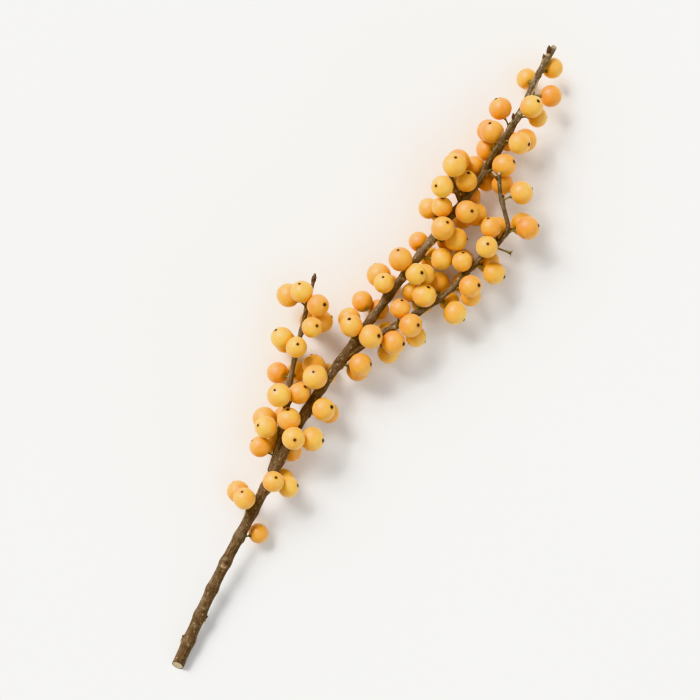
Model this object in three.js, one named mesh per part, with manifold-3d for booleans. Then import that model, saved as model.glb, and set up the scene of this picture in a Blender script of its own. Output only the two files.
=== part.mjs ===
// A sprig of winterberry holly, leafless and heavy with golden orange berries, cut from
// its bush and laid on a flat surface. Millimetres, +Z up.
//
// One piece of wood forks into a main stem, a right shoot, a left shoot and two short
// twigs. It is a little thicker at each leaf scar. Most scars carry one to three berries
// on short stalks, and the bare ones carry a bud. Stalks and buds grow from the wood and
// are one solid with it. The berries of one leaf scar press on each other and are one
// solid, a cluster.
//
// +X runs along the main stem, from its slanting cut foot to its pruned tip. The surface
// is z = 0, and the origin is the middle of the footprint on it.

import * as THREE from "three";
import { mergeVertices } from "three/addons/utils/BufferGeometryUtils.js";
import Module from "manifold-3d";

const wasm = await Module();
wasm.setup();

// Driving dimensions
const BERRY_DIAMETER = 11; // mean width of a ripe berry
const BERRY_VARIATION = 2.2; // widest berry less the narrowest
const BERRY_SIDES = 8;
const FACET_SWELL = 1.03; // puts a faceted berry's faces and corners either side of round
const STALK_LENGTH = 3.2; // shortest berry stalk
const STALK_VARIATION = 1.6;
const STALK_RADIUS = 0.5;
const STALK_SUNK = 0.5; // how deep a stalk starts in its root
const STALK_GAP = 0.3; // between a stalk's end and its berry
const STALK_SIDES = 4;
const CUP_RADIUS = 1.35; // the flared end of a stalk, under its berry
const BUD_LENGTH = 2.5;
const BUD_RADIUS = 0.95;
const BUD_SIDES = 5;
const BUD_LEAN = 1.3; // steps forward for each step outward
const TIP_BUD_SIZE = 1.5; // as a share of the others
const FAN = 62; // degrees round the stem between two berries of a cluster
const FAN_VARIATION = 20;
const ROOT_FAN = 0.45; // how far the roots fan out, as a share of the berries' fan
const ROOT_DEPTH = 0.8; // of a stalk's root, as a share of the wood's radius
const LEAN = 30; // mean lean of a stalk towards the tip, in degrees
const LEAN_VARIATION = 28;
const NODE_SWELL = 0.17; // how much the wood thickens at a leaf scar, as a share
const NODE_WIDTH = 2.6; // half the length of that thickening
const RING_STEP = 5; // between two rings of a shoot's faces
const PRESS = 0.6; // how deep two berries of a cluster press together
const CLEAR = 0.75; // air between berries of different clusters
const WOOD_CLEAR = 0.55; // air between a berry and the wood
const SINK = 0.35; // how much of a resting berry is flattened by the surface
const HOVER = 0.5; // air between the surface and the other berries
const CUT_SLANT = 38; // degrees that a cut end leans
const SEED = 4.7;
const FOOTPRINT_MIDDLE = [5.91, -0.88]; // of the routes below, in x and y

// Shoots. A route's points are chosen by hand, and distances along it are measured from
// its first point. A node is a leaf scar: how far along it is, which way it faces round
// the shoot (0 left, 90 up, 180 right, 270 down), and how many berries it bears.
const SHOOTS = [
  {
    name: "main",
    route: [
      [-177, -15, 2.75], [-130, -8, 8], [-80, -3.5, 12.4], [-35, 0.5, 14.8], [0, 0, 15.6],
      [40, -2.5, 15.6], [79, -5.5, 15.4], [98, -7.8, 15.4], [115, -8.9, 15.6],
      [136, -8.4, 16], [157, -7, 16.4], [172, -4.8, 16.6], [188, -4, 17],
    ],
    radii: [3.1, 1.4],
    sides: 8,
    nodes: [
      [17, 20, 0], [31, 164, 0], [46, 308, 0], [61, 92, 0], [76, 215, 1], [90, 15, 2],
      [104, 170, 3], [119, 300, 3], [133, 85, 3], [147, 200, 3], [161, 350, 3],
      [176, 185, 2], [191, 60, 3], [204, 295, 2], [217, 350, 3], [230, 120, 3],
      [242, 240, 3], [253, 160, 3], [262, 335, 3], [271, 205, 3], [279, 330, 3],
      [288, 300, 2], [296, 160, 3], [308, 5, 3], [314, 215, 2], [320, 25, 1],
      [327, 140, 2], [339, 205, 1], [344, 300, 1], [351, 230, 1], [358, 10, 0],
      [362, 40, 0],
    ],
    footCut: true,
    tipCut: true,
  },
  {
    name: "right",
    route: [
      [-3, 0.5, 15.4], [18, -8, 15], [38, -18.5, 14.7], [58, -26.5, 14.8],
      [80, -30.5, 15.6], [90, -33.6, 16.6], [98.5, -33.8, 18.4], [103, -29.5, 20.4],
      [110, -21.5, 23.5], [119, -14.4, 27],
    ],
    radii: [1.85, 0.95],
    sides: 7,
    nodes: [
      [22, 200, 3], [35, 110, 3], [47, 350, 3], [59, 240, 3], [69, 195, 3],
      [75, 20, 2], [84, 205, 2], [92, 65, 1], [99, 350, 2], [107, 195, 2],
      [123, 190, 1], [134, 20, 0],
    ],
    tipCut: true,
  },
  {
    name: "left",
    route: [
      [-66, -1, 13.2], [-45, 6, 13.8], [-20, 17, 14.6], [5, 26, 15.2], [25, 33, 16.6],
    ],
    radii: [1.75, 1.0],
    sides: 7,
    nodes: [
      [21, 340, 3], [34, 130, 3], [47, 270, 2], [60, 25, 3], [72, 190, 3], [84, 60, 3],
    ],
    tipBud: true,
  },
  {
    name: "spur",
    route: [[97, -7.5, 15.4], [100, -2.5, 18], [103, 2.5, 20], [107, 6.5, 21.5]],
    radii: [1.15, 0.85],
    sides: 6,
    nodes: [[9, 60, 1], [13, 200, 2]],
    tipBud: true,
  },
  {
    name: "front_twig",
    route: [
      [117, -8, 15.6], [124, -7.6, 21], [131, -7.4, 27], [139, -7.4, 31],
      [148.5, -7.2, 33.5],
    ],
    radii: [1.3, 1.1],
    sides: 6,
    nodes: [[20, 165, 1], [32, 20, 0]],
    tipCut: true,
  },
];

// The sprig rests on its foot and on the lowest berry of each of these leaf scars.
const RESTING_NODES = [["left", 72], ["main", 314]];

const DEGREE = Math.PI / 180;
const UP = new THREE.Vector3(0, 0, 1);

// Draw number n, from 0 to 1: the fraction of a large multiple of a sine.
function draw(n) {
  const x = Math.sin(n * 78.233 + SEED) * 43758.5453;
  return x - Math.floor(x);
}

// A smooth curve through a route's points, in steps of distance: cubic pieces between
// neighbours, whose slope at a point is that of the line between its two neighbours.
class ShootCurve extends THREE.Curve {
  constructor(route) {
    super();
    this.points = route.map((p) => new THREE.Vector3(...p));
    this.knots = [0];
    this.points.slice(1).forEach((p, i) =>
      this.knots.push(this.knots[i] + p.distanceTo(this.points[i])),
    );
    this.span = this.knots.at(-1);
    const last = this.points.length - 1;
    this.slopes = this.points.map((p, i) => {
      const a = Math.max(i - 1, 0);
      const b = Math.min(i + 1, last);
      const rise = this.points[b].clone().sub(this.points[a]);
      return rise.divideScalar(this.knots[b] - this.knots[a]);
    });
  }

  // The point at a distance along the route.
  at(distance) {
    let i = 0;
    while (i < this.points.length - 2 && distance > this.knots[i + 1]) i += 1;
    const width = this.knots[i + 1] - this.knots[i];
    const u = (distance - this.knots[i]) / width;
    const rest = 1 - u;
    return new THREE.Vector3()
      .addScaledVector(this.points[i], (1 + 2 * u) * rest * rest)
      .addScaledVector(this.slopes[i], u * rest * rest * width)
      .addScaledVector(this.points[i + 1], u * u * (3 - 2 * u))
      .addScaledVector(this.slopes[i + 1], -u * u * rest * width);
  }

  getPoint(t) {
    return this.at(t * this.span);
  }

  // The point with its forward, left and upward directions.
  frame(distance) {
    const step = 0.05;
    const forward = this.at(distance + step).sub(this.at(distance - step)).normalize();
    const left = UP.clone().cross(forward).normalize();
    return { point: this.at(distance), forward, left, up: forward.clone().cross(left) };
  }
}

// The direction at an angle round a frame: 0 is left and 90 is up.
function around(frame, degrees) {
  return frame.left
    .clone()
    .multiplyScalar(Math.cos(degrees * DEGREE))
    .addScaledVector(frame.up, Math.sin(degrees * DEGREE));
}

// The wood's radius: an even taper, thickened in a smooth bump at each leaf scar.
function woodRadius(shoot, distance) {
  const [foot, tip] = shoot.radii;
  const taper = foot + ((tip - foot) * distance) / shoot.curve.span;
  const bumps = shoot.nodes.map(([at]) => Math.exp(-(((distance - at) / NODE_WIDTH) ** 2)));
  return taper * (1 + NODE_SWELL * Math.max(0, ...bumps));
}

// Berries before they settle. Each knows its leaf scar, its stalk's root and its size.
function budBerries(shoots) {
  const berries = [];
  for (const shoot of shoots) {
    shoot.nodes.forEach(([distance, facing, count], node) => {
      const frame = shoot.curve.frame(distance);
      for (let k = 0; k < count; k += 1) {
        const n = berries.length * 5 + 1;
        const radius = (BERRY_DIAMETER + BERRY_VARIATION * (draw(n) - 0.5)) / 2;
        const fan = (k - (count - 1) / 2) * FAN + FAN_VARIATION * (draw(n + 1) - 0.5);
        const lean = (LEAN + LEAN_VARIATION * (draw(n + 2) - 0.5)) * DEGREE;
        const outward = around(frame, facing + fan);
        const root = around(frame, facing + fan * ROOT_FAN)
          .multiplyScalar(woodRadius(shoot, distance) * ROOT_DEPTH)
          .add(frame.point);
        const stalk = STALK_LENGTH + STALK_VARIATION * draw(n + 3);
        const centre = outward
          .multiplyScalar(Math.cos(lean))
          .addScaledVector(frame.forward, Math.sin(lean))
          .multiplyScalar(stalk + radius)
          .add(root);
        berries.push({ cluster: `${shoot.name}_${node}`, root, stalk, radius, centre });
      }
    });
  }
  for (const [name, distance] of RESTING_NODES) {
    const shoot = shoots.find((each) => each.name === name);
    const node = shoot.nodes.findIndex(([at]) => at === distance);
    const members = berries.filter(({ cluster }) => cluster === `${name}_${node}`);
    members.sort((a, b) => a.centre.z - b.centre.z)[0].rests = true;
  }
  return berries;
}

// The height of a berry's centre over the surface: where it rests, or at least where it
// hangs free.
function settledHeight({ rests, radius, centre }) {
  return rests ? radius - SINK : Math.max(centre.z, radius + HOVER);
}

// Points down the middle of the wood and its tip buds, with the wood's radius there, for
// berries to keep off.
function woodPoints(shoots) {
  const spacing = 2;
  return shoots.flatMap((shoot) => {
    const bud = shoot.tipBud ? BUD_LENGTH * TIP_BUD_SIZE : 0;
    const count = Math.floor((shoot.curve.span + bud) / spacing) + 1;
    return Array.from({ length: count }, (_, i) => ({
      point: shoot.curve.at(i * spacing),
      radius: woodRadius(shoot, i * spacing),
    }));
  });
}

// Moves the berries until none is in another, in the wood, across another's stalk or in
// the surface. Each round adds up every push and then moves all the berries at once.
function settle(berries, wood) {
  const rounds = 900;
  const share = 0.32; // of the summed pushes that a round applies
  const apart = new THREE.Vector3();
  for (let round = 0; round < rounds; round += 1) {
    const pull = Math.max(0.06, 1 - round / 500); // of the stalk on its berry
    const moves = berries.map(() => new THREE.Vector3());
    const push = (i, from, amount) => {
      apart.copy(berries[i].centre).sub(from);
      moves[i].addScaledVector(apart, amount / Math.max(apart.length(), 1e-6));
    };
    berries.forEach((a, i) => {
      push(i, a.root, pull * (a.stalk + a.radius - a.centre.distanceTo(a.root)));
      berries.forEach((b, j) => {
        if (i === j) return;
        const together = a.cluster === b.cluster;
        const wanted = a.radius + b.radius + (together ? -PRESS : CLEAR);
        const short = wanted - a.centre.distanceTo(b.centre);
        const neighbours = together && Math.abs(i - j) === 1;
        if (short > 0 || neighbours) push(i, b.centre, short / 2);
        for (const along of [0.35, 0.7]) {
          const reach = (along * b.stalk) / (b.stalk + b.radius);
          const onStalk = b.root.clone().lerp(b.centre, reach);
          const close = a.radius + STALK_RADIUS + WOOD_CLEAR - a.centre.distanceTo(onStalk);
          if (close > 0) push(i, onStalk, close);
        }
      });
      for (const { point, radius } of wood) {
        const close = a.radius + radius + WOOD_CLEAR - a.centre.distanceTo(point);
        if (close > 0) push(i, point, close);
      }
    });
    berries.forEach((berry, i) => {
      berry.centre.addScaledVector(moves[i], share);
      berry.centre.z = settledHeight(berry);
    });
  }
}

// A closed three.js geometry as a solid that can be joined and cut.
function solidOf(geometry) {
  geometry.deleteAttribute("normal");
  geometry.deleteAttribute("uv");
  const merged = mergeVertices(geometry, 1e-4);
  const position = merged.attributes.position.array;
  const index = merged.index.array;
  const kept = [];
  for (let i = 0; i < index.length; i += 3) {
    const [a, b, c] = [index[i], index[i + 1], index[i + 2]];
    if (a !== b && b !== c && c !== a) kept.push(a, b, c);
  }
  return new wasm.Manifold(
    new wasm.Mesh({
      numProp: 3,
      vertProperties: new Float32Array(position),
      triVerts: new Uint32Array(kept),
    }),
  );
}

function geometryOf(solid) {
  const mesh = solid.getMesh();
  const geometry = new THREE.BufferGeometry();
  geometry.setAttribute("position", new THREE.BufferAttribute(mesh.vertProperties, 3));
  geometry.setIndex(new THREE.BufferAttribute(mesh.triVerts, 1));
  const flat = geometry.toNonIndexed();
  flat.computeVertexNormals();
  return flat;
}

// A box that holds everything past a plane, on the side that its normal points to.
function pastPlane(point, normal) {
  const size = 900;
  const geometry = new THREE.BoxGeometry(size, size, size).translate(0, 0, size / 2);
  const turn = new THREE.Quaternion().setFromUnitVectors(UP, normal);
  return solidOf(geometry.applyQuaternion(turn).translate(point.x, point.y, point.z));
}

// What a slanting cut takes off one end of a shoot: the cut face looks outward and up.
function cutOff(frame, outward) {
  const slant = CUT_SLANT * DEGREE;
  const normal = frame.forward
    .multiplyScalar(outward * Math.cos(slant))
    .addScaledVector(frame.up, Math.sin(slant));
  return pastPlane(frame.point, normal);
}

// How far along a shoot each ring of its faces is: even steps, moved to a leaf scar
// where one is near.
function ringDistance(shoot, index, rings) {
  const step = shoot.curve.span / rings;
  const even = index * step;
  if (index === 0 || index === rings) return even;
  const scar = shoot.nodes.find(([at]) => Math.abs(at - even) < step / 2);
  return scar ? scar[0] : even;
}

// A cylinder bent along a shoot, with the wood's radius at each ring.
function shootSolid(shoot) {
  const { curve, sides, radii } = shoot;
  const rings = Math.round(curve.span / RING_STEP);
  const geometry = new THREE.CylinderGeometry(1, 1, rings, sides, rings);
  const position = geometry.attributes.position;
  for (let i = 0; i < position.count; i += 1) {
    const ring = Math.round(position.getY(i) + rings / 2);
    const distance = ringDistance(shoot, ring, rings);
    const frame = curve.frame(distance);
    const radius = woodRadius(shoot, distance);
    frame.point.addScaledVector(frame.left, position.getZ(i) * radius);
    frame.point.addScaledVector(frame.up, position.getX(i) * radius);
    position.setXYZ(i, frame.point.x, frame.point.y, frame.point.z);
  }
  let solid = solidOf(geometry);
  if (shoot.footCut) solid = solid.subtract(cutOff(curve.frame(radii[0]), -1));
  if (shoot.tipCut) solid = solid.subtract(cutOff(curve.frame(curve.span - radii[1]), 1));
  return solid;
}

// A lathe turned so that its axis runs from a point along a direction.
function turnedSolid(profile, sides, from, direction) {
  const geometry = new THREE.LatheGeometry(
    profile.map(([radius, height]) => new THREE.Vector2(radius, height)),
    sides,
  );
  const turn = new THREE.Quaternion().setFromUnitVectors(new THREE.Vector3(0, 1, 0), direction);
  geometry.applyQuaternion(turn).translate(from.x, from.y, from.z);
  return solidOf(geometry);
}

// A berry: nearly round, flat where its stalk meets it, with the small raised scar of
// the flower at the far end.
function berrySolid(berry) {
  const size = berry.radius * FACET_SWELL;
  const latitudes = [-62, -22, 18, 56];
  const round = latitudes.map((a) => [Math.cos(a * DEGREE), Math.sin(a * DEGREE)]);
  const profile = [
    [0, -0.92], ...round, [0.15, 0.94], [0, 1.02],
  ].map(([radius, height]) => [radius * size, height * size]);
  const direction = berry.centre.clone().sub(berry.root).normalize();
  return turnedSolid(profile, BERRY_SIDES, berry.centre, direction);
}

// A stalk: thin, then flared into the cup that the berry sits on.
function stalkSolid(berry) {
  const path = berry.centre.clone().sub(berry.root);
  const length = path.length() - berry.radius * 0.93 - STALK_GAP;
  const profile = [
    [0, -STALK_SUNK], [STALK_RADIUS * 1.3, -STALK_SUNK], [STALK_RADIUS, length * 0.75],
    [CUP_RADIUS, length], [0, length],
  ];
  return turnedSolid(profile, STALK_SIDES, berry.root, path.normalize());
}

// A bud: a small pointed egg that leans towards the tip.
function budSolid(root, direction, size) {
  const profile = [
    [0, -0.3], [0.8, -0.25], [0.95, 0.4], [0, 1],
  ].map(([radius, height]) => [radius * BUD_RADIUS * size, height * BUD_LENGTH * size]);
  return turnedSolid(profile, BUD_SIDES, root, direction);
}

// The buds of a shoot: one at each leaf scar without berries, and one at an uncut tip.
function budSolids(shoot) {
  const bare = shoot.nodes.filter(([, , count]) => count === 0);
  const buds = bare.map(([distance, facing]) => {
    const frame = shoot.curve.frame(distance);
    const outward = around(frame, facing);
    const root = outward
      .clone()
      .multiplyScalar(woodRadius(shoot, distance) * 0.75)
      .add(frame.point);
    const direction = outward.addScaledVector(frame.forward, BUD_LEAN).normalize();
    return budSolid(root, direction, 1);
  });
  if (shoot.tipBud) {
    const end = shoot.curve.frame(shoot.curve.span);
    buds.push(budSolid(end.point, end.forward, TIP_BUD_SIZE));
  }
  return buds;
}

const joined = (solids) => solids.reduce((all, next) => all.add(next));

const bark = new THREE.MeshStandardMaterial({ color: 0x5c4630, roughness: 0.85, metalness: 0 });
const skin = new THREE.MeshStandardMaterial({ color: 0xeb9d30, roughness: 0.4, metalness: 0 });

const shoots = SHOOTS.map((shoot) => ({ ...shoot, curve: new ShootCurve(shoot.route) }));
const berries = budBerries(shoots);
settle(berries, woodPoints(shoots));

const underSurface = pastPlane(new THREE.Vector3(), UP.clone().negate());
const sprig = new THREE.Group();

function addNode(name, solid, material) {
  const mesh = new THREE.Mesh(geometryOf(solid), material);
  mesh.name = name;
  mesh.position.set(-FOOTPRINT_MIDDLE[0], -FOOTPRINT_MIDDLE[1], 0);
  sprig.add(mesh);
}

const wood = joined([
  ...shoots.map(shootSolid),
  ...berries.map(stalkSolid),
  ...shoots.flatMap(budSolids),
]);
addNode("woody_stem", wood.subtract(underSurface), bark);

const clusters = new Map();
berries.forEach((berry) => {
  const members = clusters.get(berry.cluster) ?? [];
  clusters.set(berry.cluster, [...members, berry]);
});
const numbers = {};
for (const [key, members] of clusters) {
  const shoot = key.slice(0, key.lastIndexOf("_"));
  numbers[shoot] = (numbers[shoot] ?? 0) + 1;
  const name = `berries_${shoot}_${String(numbers[shoot]).padStart(2, "0")}`;
  addNode(name, joined(members.map(berrySolid)).subtract(underSurface), skin);
}

export default sprig;
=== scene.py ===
# %% [markdown]
# A sprig of winterberry holly in its autumn look: leaves gone, wood bare, and every
# leaf scar crowded with waxy golden orange berries. The plain solids of the sprig are
# loaded first and stay as the frame. Each finer piece below is worked out in the same
# place, so that it sits exactly where its solid is.

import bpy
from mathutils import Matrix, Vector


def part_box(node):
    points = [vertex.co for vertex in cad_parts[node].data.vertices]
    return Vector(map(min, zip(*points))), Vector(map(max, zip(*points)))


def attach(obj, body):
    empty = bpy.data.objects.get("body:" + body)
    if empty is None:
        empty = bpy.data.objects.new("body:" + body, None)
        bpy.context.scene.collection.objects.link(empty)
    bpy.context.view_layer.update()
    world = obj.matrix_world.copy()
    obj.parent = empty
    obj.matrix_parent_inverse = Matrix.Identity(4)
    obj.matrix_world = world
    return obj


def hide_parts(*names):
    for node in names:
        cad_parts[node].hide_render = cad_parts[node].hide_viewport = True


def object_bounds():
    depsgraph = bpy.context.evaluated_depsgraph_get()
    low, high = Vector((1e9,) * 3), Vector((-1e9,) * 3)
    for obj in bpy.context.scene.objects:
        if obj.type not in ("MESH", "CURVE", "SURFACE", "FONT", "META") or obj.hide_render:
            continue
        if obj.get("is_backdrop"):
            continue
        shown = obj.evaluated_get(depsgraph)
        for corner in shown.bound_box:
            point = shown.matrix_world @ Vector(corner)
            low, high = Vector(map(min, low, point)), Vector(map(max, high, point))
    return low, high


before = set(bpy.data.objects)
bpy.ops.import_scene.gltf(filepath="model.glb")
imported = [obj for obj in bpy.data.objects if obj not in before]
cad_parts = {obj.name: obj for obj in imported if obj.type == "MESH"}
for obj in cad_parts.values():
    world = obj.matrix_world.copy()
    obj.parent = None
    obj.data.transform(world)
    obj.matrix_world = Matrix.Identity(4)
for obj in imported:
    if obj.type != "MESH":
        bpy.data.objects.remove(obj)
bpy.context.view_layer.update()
print("nodes in the frame:", len(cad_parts))

# %% [markdown]
# Shapes here are arrays of points worked out by formula, so numpy does the sums and
# Blender only receives the result. Lengths are in millimetres until the last moment,
# because a berry is easier to think of as 11 than as 0.011.

import bpy
import numpy as np
from mathutils import Matrix

MM = 0.001  # metres in a millimetre
TURN = 2 * np.pi
CHOICE_SEED = 20
chance = np.random.default_rng(CHOICE_SEED)  # every free choice below comes from this source


def unit(vectors):
    """Each vector divided by its own length."""
    length = np.linalg.norm(vectors, axis=-1, keepdims=True)
    return vectors / np.maximum(length, 1e-9)


def smooth_step(value, low, high):
    """0 below low, 1 above high, and a smooth S between: 3t^2 - 2t^3."""
    t = np.clip((value - low) / (high - low), 0, 1)
    return t * t * (3 - 2 * t)


print("a quarter of the way along, the smooth step has risen", smooth_step(0.25, 0.0, 1.0))

# %% [markdown]
# The sprig grows from a few driving sizes: how wide a berry is, how long its stalk is,
# how far a stalk leans. They are the same ones that the plain solids were made from.
# Repeating them here means that the berries below land on the solid ones by themselves.

# %% Driving sizes, in millimetres
BERRY_DIAMETER = 11.0
BERRY_VARIATION = 2.2
STALK_LENGTH = 3.2
STALK_VARIATION = 1.6
STALK_RADIUS = 0.5
FAN = 62.0  # degrees round the stem between two berries of a cluster
FAN_VARIATION = 20.0
ROOT_FAN = 0.45  # share of the fan in which the stalks leave the wood
ROOT_DEPTH = 0.8  # where in the wood a stalk starts, as a share of the wood's radius
LEAN = 30.0  # degrees from straight out towards the tip
LEAN_VARIATION = 28.0
NODE_SWELL = 0.17  # how much thicker the wood is at a leaf scar, as a share
NODE_WIDTH = 2.6
PRESS = 0.6  # how deep two berries of a cluster press together
CLEAR = 0.75  # air between berries of two clusters
WOOD_CLEAR = 0.55  # air between a berry and the wood
SINK = 0.35  # how much of a resting berry the table flattens
HOVER = 0.5  # air under the berries that don't rest
CUT_SLANT = 38.0  # degrees
BUD_LENGTH = 2.5
BUD_RADIUS = 0.95
BUD_LEAN = 1.3  # steps forward for each step outward
TIP_BUD_SIZE = 1.5  # as a share of the others
FOOTPRINT_MIDDLE = np.array([5.91, -0.88, 0.0])  # of the routes; in the solids it is the origin
print("a berry is", BERRY_DIAMETER, "mm wide and a stalk at least", STALK_LENGTH)

# %% [markdown]
# The wood forks into a main stem, a right shoot, a left shoot and two short twigs. Each
# is a smooth route through listed points. A node is a leaf scar: its distance along the
# route, the way it faces (0 left, 90 up, 180 right, 270 down) and how many berries it
# bears. Radii are those at the foot and the tip, and columns says how many points go
# round the wood. Such a table is the plan of the whole plant on one page.

# %% The shoots
SHOOTS = {
    "main": {
        "route": [
            [-177, -15, 2.75], [-130, -8, 8], [-80, -3.5, 12.4], [-35, 0.5, 14.8],
            [0, 0, 15.6], [40, -2.5, 15.6], [79, -5.5, 15.4], [98, -7.8, 15.4],
            [115, -8.9, 15.6], [136, -8.4, 16], [157, -7, 16.4], [172, -4.8, 16.6],
            [188, -4, 17],
        ],
        "radii": (3.1, 1.4),
        "nodes": [
            [17, 20, 0], [31, 164, 0], [46, 308, 0], [61, 92, 0], [76, 215, 1],
            [90, 15, 2], [104, 170, 3], [119, 300, 3], [133, 85, 3], [147, 200, 3],
            [161, 350, 3], [176, 185, 2], [191, 60, 3], [204, 295, 2], [217, 350, 3],
            [230, 120, 3], [242, 240, 3], [253, 160, 3], [262, 335, 3], [271, 205, 3],
            [279, 330, 3], [288, 300, 2], [296, 160, 3], [308, 5, 3], [314, 215, 2],
            [320, 25, 1], [327, 140, 2], [339, 205, 1], [344, 300, 1], [351, 230, 1],
            [358, 10, 0], [362, 40, 0],
        ],
        "columns": 56,
        "peeled": (340, 8, 135, 0.7),  # middle, half length, facing and half width
        "cut_foot": True,
        "cut_tip": True,
    },
    "right": {
        "route": [
            [-3, 0.5, 15.4], [18, -8, 15], [38, -18.5, 14.7], [58, -26.5, 14.8],
            [80, -30.5, 15.6], [90, -33.6, 16.6], [98.5, -33.8, 18.4],
            [103, -29.5, 20.4], [110, -21.5, 23.5], [119, -14.4, 27],
        ],
        "radii": (1.85, 0.95),
        "nodes": [
            [22, 200, 3], [35, 110, 3], [47, 350, 3], [59, 240, 3], [69, 195, 3],
            [75, 20, 2], [84, 205, 2], [92, 65, 1], [99, 350, 2], [107, 195, 2],
            [123, 190, 1], [134, 20, 0],
        ],
        "columns": 40,
        "cut_foot": False,
        "cut_tip": True,
    },
    "left": {
        "route": [
            [-66, -1, 13.2], [-45, 6, 13.8], [-20, 17, 14.6], [5, 26, 15.2],
            [25, 33, 16.6],
        ],
        "radii": (1.75, 1.0),
        "nodes": [
            [21, 340, 3], [34, 130, 3], [47, 270, 2], [60, 25, 3], [72, 190, 3],
            [84, 60, 3],
        ],
        "columns": 40,
        "cut_foot": False,
        "cut_tip": False,
    },
    "spur": {
        "route": [[97, -7.5, 15.4], [100, -2.5, 18], [103, 2.5, 20], [107, 6.5, 21.5]],
        "radii": (1.15, 0.85),
        "nodes": [[9, 60, 1], [13, 200, 2]],
        "columns": 32,
        "cut_foot": False,
        "cut_tip": False,
    },
    "front_twig": {
        "route": [
            [117, -8, 15.6], [124, -7.6, 21], [131, -7.4, 27], [139, -7.4, 31],
            [148.5, -7.2, 33.5],
        ],
        "radii": (1.3, 1.1),
        "nodes": [[20, 165, 1], [32, 20, 0]],
        "columns": 32,
        "cut_foot": False,
        "cut_tip": True,
    },
}
RESTING_NODES = [("left", 72), ("main", 314)]
bearing = sum(node[2] > 0 for shoot in SHOOTS.values() for node in shoot["nodes"])
print(len(SHOOTS), "shoots with", bearing, "clusters of berries")

# %% [markdown]
# A shoot bends smoothly, so its route is a chain of cubic pieces. Each piece leaves a
# point along the line that joins that point's two neighbours, which is what a bent
# springy twig does. Blender's own curves could do this too, but then the solids and the
# fine pieces would each round the bends in their own way.


# %% Curves of the shoots
DIRECTION_STEP = 0.05  # how far on and back a direction looks


def lay_route(shoot):
    """Adds to a shoot its knots, which are the summed straight distances between the
    route's points, and its slopes, each the line between a point's two neighbours."""
    points = np.array(shoot["route"], float)
    steps = np.linalg.norm(np.diff(points, axis=0), axis=1)
    knots = np.concatenate([[0.0], np.cumsum(steps)])
    order = np.arange(len(points))
    before, after = np.maximum(order - 1, 0), np.minimum(order + 1, order[-1])
    slopes = (points[after] - points[before]) / (knots[after] - knots[before])[:, None]
    shoot.update(points=points, knots=knots, slopes=slopes, span=knots[-1])


def along(shoot, distance):
    """Points at distances along a shoot: the cubic that has the right ends and slopes."""
    distance = np.asarray(distance, float)
    points, knots, slopes = shoot["points"], shoot["knots"], shoot["slopes"]
    i = np.minimum(np.searchsorted(knots[1:], distance, side="left"), len(points) - 2)
    width = (knots[i + 1] - knots[i])[..., None]
    u = (distance - knots[i])[..., None] / width
    rest = 1 - u
    start = points[i] * ((1 + 2 * u) * rest * rest) + slopes[i] * (u * rest * rest * width)
    end = points[i + 1] * (u * u * (3 - 2 * u)) - slopes[i + 1] * (u * u * rest * width)
    return start + end


def directions(shoot, distance):
    """Forward, left and upward directions: forward joins two points a little apart, left
    is level and square to it, and up is square to both."""
    ahead, behind = np.add(distance, DIRECTION_STEP), np.subtract(distance, DIRECTION_STEP)
    forward = unit(along(shoot, ahead) - along(shoot, behind))
    left = unit(np.cross([0.0, 0.0, 1.0], forward))
    return forward, left, np.cross(forward, left)


def wood_radius(shoot, distance):
    """An even taper from foot to tip, times one plus a smooth bump at each leaf scar."""
    foot, tip = shoot["radii"]
    distance = np.asarray(distance, float)
    taper = foot + (tip - foot) * distance / shoot["span"]
    swell = np.zeros_like(distance)
    for scar, _, _ in shoot["nodes"]:
        swell = np.maximum(swell, np.exp(-(((distance - scar) / NODE_WIDTH) ** 2)))
    return taper * (1 + NODE_SWELL * swell)


for name, shoot in SHOOTS.items():
    lay_route(shoot)
    print(name, "is", round(shoot["span"], 1), "mm long")

# %% [markdown]
# Berries bud at a leaf scar in a fan, each with a size, a lean and a stalk length drawn
# from a small formula. The fraction of a large sine looks random but never changes, so
# the same berry comes out the same size in any program.


# %% Berries as they bud
DRAW_STEP, DRAW_START, DRAW_SPREAD = 78.233, 4.7, 43758.5453
DRAWS_EACH = 5  # numbers set aside for each berry


def draw(n):
    """Draw number n, from 0 to 1: the fraction of a large multiple of a sine."""
    x = np.sin(n * DRAW_STEP + DRAW_START) * DRAW_SPREAD
    return x - np.floor(x)


def bud_berries():
    """Each berry's cluster, root, stalk length, radius and first place: out from its leaf
    scar by a stalk and a radius, fanned round the stem and leaning towards the tip."""
    keys = ("cluster", "node", "root", "stalk", "radius", "centre", "forward")
    berries = {key: [] for key in keys}
    for shoot_name, shoot in SHOOTS.items():
        number = 0
        for scar, facing, count in shoot["nodes"]:
            if count == 0:
                continue
            number += 1
            forward, left, up = directions(shoot, scar)
            for k in range(count):
                n = len(berries["root"]) * DRAWS_EACH + 1
                radius = (BERRY_DIAMETER + BERRY_VARIATION * (draw(n) - 0.5)) / 2
                fan = (k - (count - 1) / 2) * FAN + FAN_VARIATION * (draw(n + 1) - 0.5)
                lean = np.radians(LEAN + LEAN_VARIATION * (draw(n + 2) - 0.5))
                stalk = STALK_LENGTH + STALK_VARIATION * draw(n + 3)
                turn, root_turn = np.radians([facing + fan, facing + fan * ROOT_FAN])
                outward = left * np.cos(turn) + up * np.sin(turn)
                rooted = left * np.cos(root_turn) + up * np.sin(root_turn)
                root = along(shoot, scar) + rooted * wood_radius(shoot, scar) * ROOT_DEPTH
                reach = outward * np.cos(lean) + forward * np.sin(lean)
                berries["cluster"].append(f"berries_{shoot_name}_{number:02d}")
                berries["node"].append((shoot_name, scar))
                berries["root"].append(root)
                berries["stalk"].append(stalk)
                berries["radius"].append(radius)
                berries["centre"].append(root + reach * (stalk + radius))
                berries["forward"].append(forward)
    for key in keys[2:]:
        berries[key] = np.array(berries[key])
    return berries


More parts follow.
